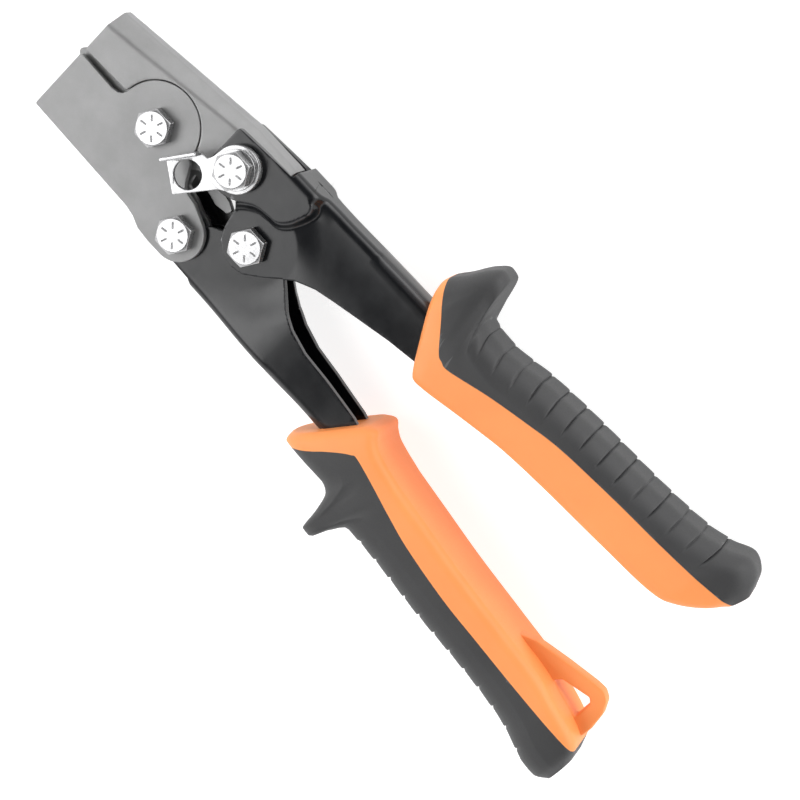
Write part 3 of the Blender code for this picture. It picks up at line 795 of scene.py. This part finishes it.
def upper_jaw():
    """The folded channel and the two blades inside it."""
    tip, heel = JAW_ENDS
    outline = [(tip, 0.0), (-15.2, 0.85), (-14.7, 2.2)]
    outline += arc(JAW, 14.85, 171, 19.1, 60)
    outline += [(15.4, 4.6), (18.7, 5.9), (22.0, 5.7)]
    outline += arc(UPPER_JAW, 9.0, 225, 338, 40)
    outline += [(38.0, 14.0), (40.6, 19.4)]
    # Two far corners close the outline while its own corners are rounded, and are then dropped.
    outline = [p for p in rounded(outline + [(heel, 40.0), (tip, 40.0)], 0.5) if p[1] < 25]
    top = [(x, ridge_end(x)) for x in np.linspace(heel, tip, 60)]
    outline = resample(outline + top, 0.7)
    holes = [circle(UPPER_JAW, FREE_HOLE, 48)]
    mesh = sheet_mesh("upper_jaw_channel_fine", outline, holes, place_upper_jaw, 0.8)
    sheet("upper_jaw_channel_fine", mesh, "upper_jaw", "silver_steel", ["upper_jaw_channel"])
    blade = [(-32.6, -5.4), (-33.2, -4.0), (-34.6, -3.7), (-35.4, -3.0), (-35.5, -2.0), (-35.0, -1.2)]
    blade += [(-33.6, -0.4), (-32.8, 1.0), (-32.8, 9.6), (20.0, 18.2), (28.4, 18.4)]
    blade += arc(UPPER_JAW, 7.8, 50, -85, 30) + [(18.0, -0.8), (12.0, -5.0)]
    blade += arc(JAW, 9.0, -50, -130, 20) + [(-14.0, -6.6)]
    blade = rounded(blade[::-1], 0.8)
    cuts = [circle(JAW, BOLT_HOLE), circle(UPPER_JAW, FREE_HOLE)]
    for side, sign in (("front", 1), ("back", -1)):
        low, high = sorted((sign * INNER_BLADE[0], sign * INNER_BLADE[1]))
        name = f"upper_jaw_{side}_blade"
        plate(name + "_fine", [blade] + cuts, low, high, "upper_jaw", "silver_steel", [name])


# Levers

STEP_LINE = smooth_line([(33.0, -1.5), (34.6, 1.4), (36.6, 3.9), (40.5, 6.6), (44.8, 7.5), (48.6, 8.1),
                         (51.6, 11.0), (53.5, 15.2), (54.2, 18.4), (53.4, 20.8), (50.6, 22.5),
                         (45.0, 23.6), (38.0, 24.6)], 6)
UPPER_WEB = [(42.0, 24.5), (64.0, 24.8), (87.0, 25.6), (108.0, 26.0), (118.0, 27.5), (150.0, 31.5)]
LOWER_WEB = [(41.2, 28.9), (64.0, 28.8), (93.0, 28.5), (108.0, 28.9), (122.0, 31.0), (150.0, 37.5)]
LOWER_HALF = smooth_line([(41.0, 5.0), (49.0, 5.2), (57.0, 6.0), (65.0, 7.0), (73.0, 7.5), (82.0, 7.2),
                          (93.0, 6.5), (108.0, 5.9), (150.0, 5.4)], 5)
BEND = 3.0
UPPER_WEB_START = 42.0
LOWER_WEB_START = 41.2
LEVER_END = 150.0

# The upper plate's lobe ends at a distance from the handle bolt and falls over a length. The
# plate rises at its open side and at its shoulder, and falls at its end. The lower plate leans.
LOBE_EDGE = 15.8
LOBE_FALL = 8.0
MOUTH_RISE = 1.8
END_FALL = 0.4
SHOULDER_RISE = 2.2
LEAN = 0.02


def upper_height(x, y):
    """Height of the upper lever's plate: raised, then the lobe, then the narrow channel."""
    reach = math.hypot(x - HANDLE[0], y - HANDLE[1])
    t = min(max((reach - LOBE_EDGE) / LOBE_FALL, 0.0), 1.0)
    fall = 1 - (1 - t) ** 2.2
    low = LOBE - (LOBE - CHANNEL) * fall
    low += MOUTH_RISE * fall * (1 - ease(y, 1.0, 24.0))
    low -= END_FALL * ease(x, 110, 150)
    low += SHOULDER_RISE * ease(y, 18.0, 23.0) * (1 - ease(x, 44.0, 60.0))
    rise = ease(beside(STEP_LINE, x, y), -1.15, 1.05)
    return low + (RAISED - low) * rise


def lower_height(x, y):
    """Height of the lower lever's plate, which swells beyond the handle bolt."""
    reach = math.hypot(x - HANDLE[0], y - HANDLE[1])
    lean = -LEAN * (y + 15.0)
    return LOWER_HEAD + lean + (table(LOWER_HALF, x) - LOWER_HEAD) * ease(reach, 12.5, 26.0)


def bent(x, v, web, height):
    """A plate at a height that turns through a round bend into the web."""
    start = web - BEND
    if v <= start:
        return v, height(x, v)
    top = height(x, start)
    length = math.pi / 2 * BEND
    angle = (v - start) / BEND
    if v - start < length:
        return start + BEND * math.sin(angle), top - BEND * (1 - math.cos(angle))
    return web, max(top - BEND - (v - start - length), 0.0)


def bent_end(x, web, height):
    """The unfolded y at which the web reaches the middle plane."""
    top = height(x, web - BEND)
    return web - BEND + math.pi / 2 * BEND + top - BEND


def place_upper_lever(x, v):
    """Where an unfolded point of the upper lever lies."""
    y, z = bent(x, v, table(UPPER_WEB, x), upper_height)
    return x, y, z


def turned_height(x, y):
    """The lower lever's height with its y turned over, as it is unfolded."""
    return lower_height(x, -y)


def place_lower_lever(x, v):
    """Where an unfolded point of the lower lever lies."""
    y, z = bent(x, v, table(LOWER_WEB, x), turned_height)
    return x, -y, z


def upper_lever():
    """One folded sheet: the raised plates over the jaw, the lobes, and the channel in the grip."""
    lower = [(19.4, 20.6), (19.4, 7.4)] + arc(UPPER_JAW, 10.0, 207, 305, 30)
    lower += [(34.9, 3.4), (35.6, 0.6), (36.2, -2.4), (37.1, -5.8), (38.8, -9.2), (42.2, -11.8)]
    lower += [(47.3, -12.8)]
    lower += [(51.5, -11.7), (56.1, -8.0), (60.8, -3.6), (64.4, -0.5), (67.6, 1.1), (71.0, 2.7), (78.0, 4.5)]
    lower += [(87.2, 6.6), (98.0, 9.0), (108.0, 10.6), (118.0, 13.0), (150.0, 19.0)]
    web_end = [(x, bent_end(x, table(UPPER_WEB, x), upper_height))
               for x in np.linspace(LEVER_END, UPPER_WEB_START, 90)]
    top = [(41.9, 22.9), (40.8, 22.5), (20.2, 20.9)]
    outline = rounded(lower, 1.2)[3:-3]
    outline = [(19.4, 20.4)] + outline + [(LEVER_END, 19.0)] + web_end + top
    outline = resample(outline, 0.7)
    holes = [circle(UPPER_JAW, BOLT_HOLE, 48), circle(HANDLE, BOLT_HOLE, 48)]
    mesh = sheet_mesh("upper_lever_fine", outline, holes, place_upper_lever, 0.55)
    sheet("upper_lever_fine", mesh, "upper_handle", "black_paint", ["upper_lever"])


def lower_lever():
    """One folded sheet whose head lies between the jaw's plates, and a thin black sheet behind the gap
    there, which is painted shade.
    """
    edge = arc(LOWER_JAW, 8.3, 270, 62, 40)
    edge += [(34.0, -9.4), (36.6, -8.0)] + arc(HANDLE, 9.1, 200, 40, 40)
    edge += [(57.0, -0.6), (61.6, -3.6), (65.3, -6.6), (69.5, -9.6), (75.0, -12.2), (83.0, -14.3)]
    edge += [(93.5, -15.2), (108.0, -17.0), (122.0, -21.0), (150.0, -26.0)]
    edge = [(x, -y) for x, y in rounded(edge, 2.0)[3:-3]]
    web_end = [(x, bent_end(x, table(LOWER_WEB, x), turned_height))
               for x in np.linspace(LEVER_END, LOWER_WEB_START, 90)]
    outline = [(28.0, 27.0)] + edge + [(LEVER_END, 26.0)] + web_end + [(41.0, 28.6), (39.6, 27.3)]
    outline = resample(outline, 0.8)
    holes = [[(x, -y) for x, y in circle(c, BOLT_HOLE, 48)] for c in (LOWER_JAW, HANDLE)]
    mesh = sheet_mesh("lower_lever_fine", outline, holes, place_lower_lever, 0.7)
    sheet("lower_lever_fine", mesh, "lower_handle", "black_paint", ["lower_lever"])
    # A thin black sheet behind the gap, with no part of its own: painted shade that darkens the cavity
    # there.
    tab = [(20.5, -14.0), (40.0, -14.0), (38.5, -8.0), (36.0, -4.2), (30.0, -3.7), (24.0, -4.2)]
    tab = rounded(tab + [(20.5, -6.5)], 1.0)
    plate("lower_lever_painted_shade_sheet", [tab], *PAINTED_SHADE_SHEET, "lower_handle", "black_paint", [], 0.1)


# Grips. Rows run from the collar to the end: the inner edge's x and y, the outer edge's x and y,
# and half the thickness at the outer edge.

UPPER_GRIP = [
    (110.6, 8.4, 95.9, 32.6, 11.6), (112.2, 7.6, 96.4, 35.4, 12.8),
    (113.6, 7.7, 99.6, 40.6, 13.2), (114.8, 7.9, 103.6, 47.4, 12.6),
    (116.0, 8.1, 107.2, 50.6, 11.6), (117.2, 8.3, 110.2, 50.0, 11.8),
    (119.4, 8.7, 111.9, 44.0, 12.8), (126.0, 10.1, 114.4, 35.6, 13.6),
    (135.0, 11.9, 124.0, 34.4, 14.0), (147.0, 14.0, 140.0, 36.8, 14.0),
    (160.0, 15.2, 156.0, 38.2, 14.0), (188.0, 16.9, 187.0, 39.6, 14.0),
    (204.5, 18.0, 205.0, 41.4, 14.0), (211.0, 19.2, 214.0, 43.8, 14.0),
    (216.0, 21.8, 220.6, 46.8, 13.4), (222.0, 27.0, 225.4, 44.8, 12.2),
    (226.6, 32.4, 228.6, 39.0, 9.4),
]
LOWER_GRIP = [
    (113.4, -12.8, 96.6, -36.6, 11.6), (115.8, -12.2, 98.0, -38.8, 12.8),
    (118.6, -14.4, 106.0, -39.0, 13.4), (121.6, -16.2, 114.6, -38.8, 13.8),
    (124.4, -17.0, 118.6, -40.6, 13.8), (127.0, -17.6, 120.4, -47.0, 13.0),
    (129.0, -18.0, 121.6, -54.8, 11.8), (131.0, -18.4, 124.6, -55.0, 11.8),
    (133.0, -18.8, 127.6, -48.8, 12.8), (136.0, -19.2, 131.6, -43.0, 13.8),
    (147.0, -20.6, 144.0, -43.4, 14.0), (166.0, -23.0, 165.0, -45.0, 14.0),
    (188.0, -25.0, 188.0, -45.9, 14.0), (206.0, -26.8, 206.0, -47.6, 14.0),
    (215.0, -29.0, 214.0, -49.6, 14.0), (223.0, -31.0, 221.6, -52.0, 13.6),
    (228.4, -33.4, 227.4, -52.6, 12.4), (231.4, -39.0, 231.2, -49.8, 9.4),
]
UPPER_SEAM = [(92.0, 41.5), (104.0, 29.2), (111.7, 20.8), (114.4, 19.4), (118.0, 19.1), (131.5, 23.0),
              (145.0, 26.1), (158.0, 28.6), (180.0, 30.4), (204.0, 31.8), (236.0, 34.6)]
LOWER_SEAM = [(92.0, -46.5), (104.0, -34.9), (109.6, -28.6), (115.6, -23.0), (119.5, -22.3), (137.0, -26.8),
              (149.0, -29.6), (168.0, -32.2), (184.0, -33.2), (206.0, -34.4), (238.0, -35.6)]
LOOP = [(186.0, -28.5), (197.0, -22.6), (208.0, -20.0), (219.0, -17.8), (222.4, -17.5), (225.2, -19.0),
        (227.4, -23.0), (228.4, -28.6), (228.4, -34.4), (200.0, -34.4)]
LOOP_HOLE = [(209.4, -27.4), (211.2, -25.2), (220.8, -22.6), (222.3, -23.8), (222.3, -30.4), (216.0, -28.9)]

# Half thickness by distance from the collar, how far apart rings lie before and after the row
# that ends the close ones, and the rounding of a section's inner and outer side.
GRIP_HALF = 14.0
COLLAR = [(0.0, 11.6), (1.2, 12.6), (3.5, 13.3), (8.0, 13.8), (16.0, GRIP_HALF)]
CLOSE_SPACING = 0.5
CLOSE_ROW = 7
RING_SPACING = 1.4
NEAR_RADIUS = 3.2
FAR_RADIUS = 9.0

# Ribs: their pitch, the groove between two, the slope of each, and the places across one.
RIB_PITCH = 7.3
GROOVE = 0.5
RIB_SLOPE = 0.3
RIB_PLACES = (0.0, 0.035, 0.07, 0.12, 0.2, 0.35, 0.5, 0.65, 0.8, 0.9, 0.96)

# The first and last rib's x, and how far across the grip the ribs start and are full.
UPPER_RIBS = (117.3, 217.0, 0.68, 0.84)
LOWER_RIBS = (137.0, 219.0, 0.80, 0.94)


def rib_depth(x, first, last):
    """How far a rib's surface lies below the smooth grip at an outer-edge x."""
    if x < first - 1.0 or x > last + 1.0:
        return 0.0
    s = ((x - first) / RIB_PITCH) % 1.0
    groove = GROOVE * max(0.0, 1 - min(s / 0.1, (1 - s) / 0.05))
    return groove + RIB_SLOPE * (1 - s) ** 2 * ease(x, first - 1, first)


def grip_ring(row, ribs, shrink):
    """A closed section of the grip, tightened by shrink and cut by the ribs at its outer side."""
    first, last, ribs_start, ribs_full = ribs
    inner_x, inner_y, outer_x, outer_y, outer_half, half = row
    start = Vector((inner_x, inner_y))
    across = Vector((outer_x, outer_y)) - start
    far = across.length - shrink
    across.normalize()
    half -= shrink
    thin = (outer_half - shrink) / half
    near_radius = min(NEAR_RADIUS, half - 0.5, far * 0.3)
    far_radius = min(FAR_RADIUS, half - 0.5, far * 0.5)
    profile = [(shrink, h) for h in np.linspace(0, half - near_radius, 5)[:-1]]
    profile += arc((shrink + near_radius, half - near_radius), near_radius, 180, 90, 7)
    profile += [(u, half) for u in np.linspace(shrink + near_radius, far - far_radius, 14)[1:-1]]
    profile += arc((far - far_radius, half - far_radius), far_radius, 90, 0, 12)
    profile += [(far, h) for h in np.linspace(half - far_radius, 0, 5)[1:]]
    depth = rib_depth(outer_x, first, last)
    made = []
    for u, z in profile:
        fade = ease(u, far * ribs_start, far * ribs_full) * depth
        pull = Vector((far * 0.62 - u, -z))
        if pull.length > 1e-6:
            pull.normalize()
        point = start + across * (u + pull.x * fade)
        height = (z + pull.y * fade) * (1 + (thin - 1) * ease(u, far * 0.3, far * 0.8))
        crown = 0.5 * math.sin(math.pi * min(max(u / far, 0), 1)) if z > half - 0.01 else 0.0
        made.append((point.x, point.y, max(height - 0.25 + crown * 0.5 if z > 1 else height, 0.0)))
    back = [(x, y, -z) for x, y, z in made[1:-1][::-1]]
    return made + back


def grip_mesh(name, rows, ribs):
    """Rings along the grip, closer together at the horn and the ribs, with rounded ends."""
    first, last = ribs[:2]
    stops = [0.0]
    for a, b in zip(rows, rows[1:]):
        stops.append(stops[-1] + (math.dist(a[:2], b[:2]) + math.dist(a[2:4], b[2:4])) / 2)
    halves = [min(table(COLLAR, t), max(row[4], 12.6) if t > 60 else GRIP_HALF)
              for t, row in zip(stops, rows)]
    halves[-1] = rows[-1][4]
    columns = list(zip(*rows)) + [halves]
    close_end = stops[CLOSE_ROW]
    turns = list(np.arange(0, close_end, CLOSE_SPACING))
    turns += list(np.arange(close_end, stops[-1], RING_SPACING))
    track = np.arange(close_end, stops[-1], 0.2)
    outer = [steady(stops, columns[2], t) for t in track]
    for k in range(int((last - first) / RIB_PITCH) + 1):
        for share in RIB_PLACES:
            x = first + RIB_PITCH * (k + share)
            if x < last + 1:
                turns.append(float(np.interp(x, outer, track)))
    kept = []
    for t in sorted(turns + [stops[-1]]):
        if not kept or t - kept[-1] > 0.05:
            kept.append(t)
    made = [[steady(stops, column, t) for column in columns] for t in kept]
    rings = [grip_ring(made[0], ribs, 1.4)]
    rings += [grip_ring(row, ribs, max(0.0, 0.7 * (1 - t / 1.2))) for t, row in zip(kept, made)]
    rings += [grip_ring(made[-1], ribs, shrink) for shrink in (0.5, 1.5)]
    return loft(name, rings)


def beyond(seam, shift, far):
    """A block on the outer side of a seam, for cutting the grip in two."""
    edge = [(x, y + shift) for x, y in smooth_line(seam, 8)]
    outline = edge + [(edge[-1][0], far), (edge[0][0] - 8, far)]
    return helper(plate_mesh("trim", [outline], -22, 22, 0.02))


def grip(label, body, rows, seam, outward, ribs):
    """An orange core and its grey cover, cut from one solid along the seam."""
    far = outward * 80
    mesh = grip_mesh(f"{label}_grip_core_fine", rows, ribs)
    core, cover = helper(mesh), helper(mesh.copy())
    boolean(core, beyond(seam, 0.0, far), "DIFFERENCE")
    boolean(cover, beyond(seam, outward * 0.06, far), "INTERSECT")
    if label == "lower":
        fin = plate_mesh("fin", [rounded(LOOP[::-1], 3.0), rounded(LOOP_HOLE, 1.0)], -2.6, 2.6, 0.9)
        boolean(core, helper(fin), "UNION")
    for role, solid, finish in (("core", core, "orange_grip"), ("cover", cover, "grey_grip")):
        name = f"{label}_grip_{role}"
        made = piece(name + "_fine", solid.data.copy(), body, finish, [name])
        made.data.set_sharp_from_angle(angle=math.radians(38))
        weigh(made)
        bpy.data.objects.remove(solid, do_unlink=True)


# Latch and spring

def latch():
    """The plate with its round hole and turned-up thumb edge, its spacer and its washer."""
    outline = [(10.6, -2.6), (19.5, -8.9), (28.6, 3.4), (30.5, 4.6)]
    outline += arc(UPPER_JAW, 7.6, -75, 170, 40) + [(20.4, 9.6), (19.6, 7.7), (17.4, 7.5), (16.2, 7.3)]
    outline = rounded(outline, 0.6)
    holes = [circle((18.6, -0.7), 4.7), circle(UPPER_JAW, BOLT_HOLE)]
    tab = rounded([(9.2, -2.9), (10.3, -3.5), (17.3, 6.6), (16.2, 7.3)], 0.5)
    body = helper(plate_mesh("latch", [outline] + holes, *LATCH, 0.2))
    boolean(body, helper(plate_mesh("tab", [tab], LATCH[0] + 0.2, LATCH[0] + 4.8, 0.25)), "UNION")
    made = piece("latch_plate_fine", body.data.copy(), "latch", "bright_zinc", ["latch_plate"], True)
    made.data.set_sharp_from_angle(angle=math.radians(50))
    weigh(made)
    bpy.data.objects.remove(body, do_unlink=True)
    ring("latch_spacer", UPPER_JAW, 7.5, 10.35, 12.2, "upper_handle")
    ring("latch_washer", UPPER_JAW, 6.5, 14.05, 14.65, "upper_handle")


def spring():
    """Torsion spring about the handle bushing; its legs reach out along the two levers."""
    cx, cy = HANDLE
    coil_radius, wire_radius, rise, steps = 6.4, 0.7, 1.4, 119
    line = [Vector((cx + 19.5, cy - 19.0, -rise))]
    for i, (x, y) in enumerate(arc(HANDLE, coil_radius, 40, 686, steps)):
        line.append(Vector((x, y, 2 * rise * i / steps - rise)))
    line.append(Vector((cx + 20.5, cy + 20.0, rise)))
    rows = []
    for i, point in enumerate(line):
        ahead = (line[min(i + 1, len(line) - 1)] - line[max(i - 1, 0)]).normalized()
        side = ahead.cross(Vector((0, 0, 1))).normalized()
        up = side.cross(ahead)
        rows.append([tuple(point + side * wire_radius * math.cos(a) + up * wire_radius * math.sin(a))
                     for a in np.linspace(0, 2 * math.pi, 13)[:-1]])
    made = piece("return_spring_fine", loft("return_spring_fine", rows), None, "spring_steel",
                 ["return_spring"])
    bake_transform(made)


# Studio

AMBIENT = 0.06
# Soft light from directions about an axis: the axis, cosines where it starts and is full, strength.
GLOW = ((-0.422, -0.402, 0.812), 0.902, 0.966, 4.2)
SIDES = ((0.0, 0.0, 1.0), 0.80, 0.25, 1.5)
BEHIND = ((0.30, 0.95, 0.08), 0.74, 0.97, 3.0)
LENS = 108.86
CAMERA_PLACE = (161.695, 251.593, 705.493)
CAMERA_RIGHT = Vector((0.67017, 0.68197, -0.29289))
CAMERA_UP = Vector((-0.73939, 0.64779, -0.18348))


def studio():
    """A pale floor, a softly lit sky and a weak fill lamp."""
    floor_mesh = mesh_of("floor", [(-3, -3, 0), (3, -3, 0), (3, 3, 0), (-3, 3, 0)], [(0, 1, 2, 3)])
    floor = bpy.data.objects.new("floor", floor_mesh)
    floor.location.z = -0.0002
    bpy.context.scene.collection.objects.link(floor)
    n = Nodes("floor_paper")
    fibre = n.noise(300.0, 4.0, 0.6)
    n.link(n.colours(fibre, (0.48, 0.48, 0.48), (0.52, 0.52, 0.52)), n.shader.inputs["Base Color"])
    n.set(Roughness=0.9, Emission_Strength=0.8)
    n.shader.inputs["Emission Color"].default_value = (1.0, 1.0, 1.0, 1.0)
    n.shader.inputs["Specular IOR Level"].default_value = 0.1
    floor_mesh.materials.append(n.material)
    world = bpy.data.worlds.new("studio")
    bpy.context.scene.world = world
    world.use_nodes = True
    tree = world.node_tree
    way = tree.nodes.new("ShaderNodeTexCoord").outputs["Generated"]
    total = sky_part(tree, way, *GLOW)
    for part in (SIDES, BEHIND):
        add = tree.nodes.new("ShaderNodeMath")
        add.operation = "ADD"
        tree.links.new(total, add.inputs[0])
        tree.links.new(sky_part(tree, way, *part), add.inputs[1])
        total = add.outputs["Value"]
    tree.links.new(total, tree.nodes["Background"].inputs["Strength"])
    tree.nodes["Background"].inputs["Color"].default_value = (1.0, 1.0, 1.0, 1.0)
    lamp("fill", (-500, -300, 900), (40, 0, 0), 0.6, 0.6)


def sky_part(tree, way, towards, start, end, strength):
    """Light that grows from AMBIENT as a direction's cosine to an axis goes from start to end."""
    dot = tree.nodes.new("ShaderNodeVectorMath")
    dot.operation = "DOT_PRODUCT"
    dot.inputs[1].default_value = towards
    tree.links.new(way, dot.inputs[0])
    grow = tree.nodes.new("ShaderNodeMapRange")
    grow.interpolation_type = "SMOOTHSTEP"
    grow.inputs["From Min"].default_value = start
    grow.inputs["From Max"].default_value = end
    grow.inputs["To Min"].default_value = AMBIENT
    grow.inputs["To Max"].default_value = strength
    tree.links.new(dot.outputs["Value"], grow.inputs["Value"])
    return grow.outputs["Result"]


def lamp(name, place, target, size, power):
    """A square softbox at a drawing position, turned to a drawing target."""
    light = bpy.data.lights.new(name, "AREA")
    light.shape = "RECTANGLE"
    light.size = light.size_y = size
    light.energy = power
    obj = bpy.data.objects.new(name, light)
    obj.location = (Vector(place) + ORIGIN) * MM
    aim = Vector(target) - Vector(place)
    obj.rotation_euler = aim.to_track_quat("-Z", "Y").to_euler()
    bpy.context.scene.collection.objects.link(obj)


def camera():
    """The camera, placed in the drawing and turned by its own right and up directions."""
    data = bpy.data.cameras.new("camera")
    data.lens = LENS
    data.sensor_width = 36.0
    data.dof.use_dof = False
    data.clip_start = 0.01
    obj = bpy.data.objects.new("camera", data)
    place = (Vector(CAMERA_PLACE) + ORIGIN) * MM
    turn = Matrix((CAMERA_RIGHT, CAMERA_UP, CAMERA_RIGHT.cross(CAMERA_UP))).transposed()
    obj.matrix_world = Matrix.Translation(place) @ turn.to_4x4()
    bpy.context.scene.collection.objects.link(obj)
    bpy.context.scene.camera = obj


lower_jaw()
upper_jaw()
upper_lever()
lower_lever()
grip("upper", "upper_handle", UPPER_GRIP, UPPER_SEAM, 1, UPPER_RIBS)
grip("lower", "lower_handle", LOWER_GRIP, LOWER_SEAM, -1, LOWER_RIBS)
latch()
spring()
washers()
fasteners()
studio()
camera()
bpy.context.scene.view_settings.view_transform = "Standard"
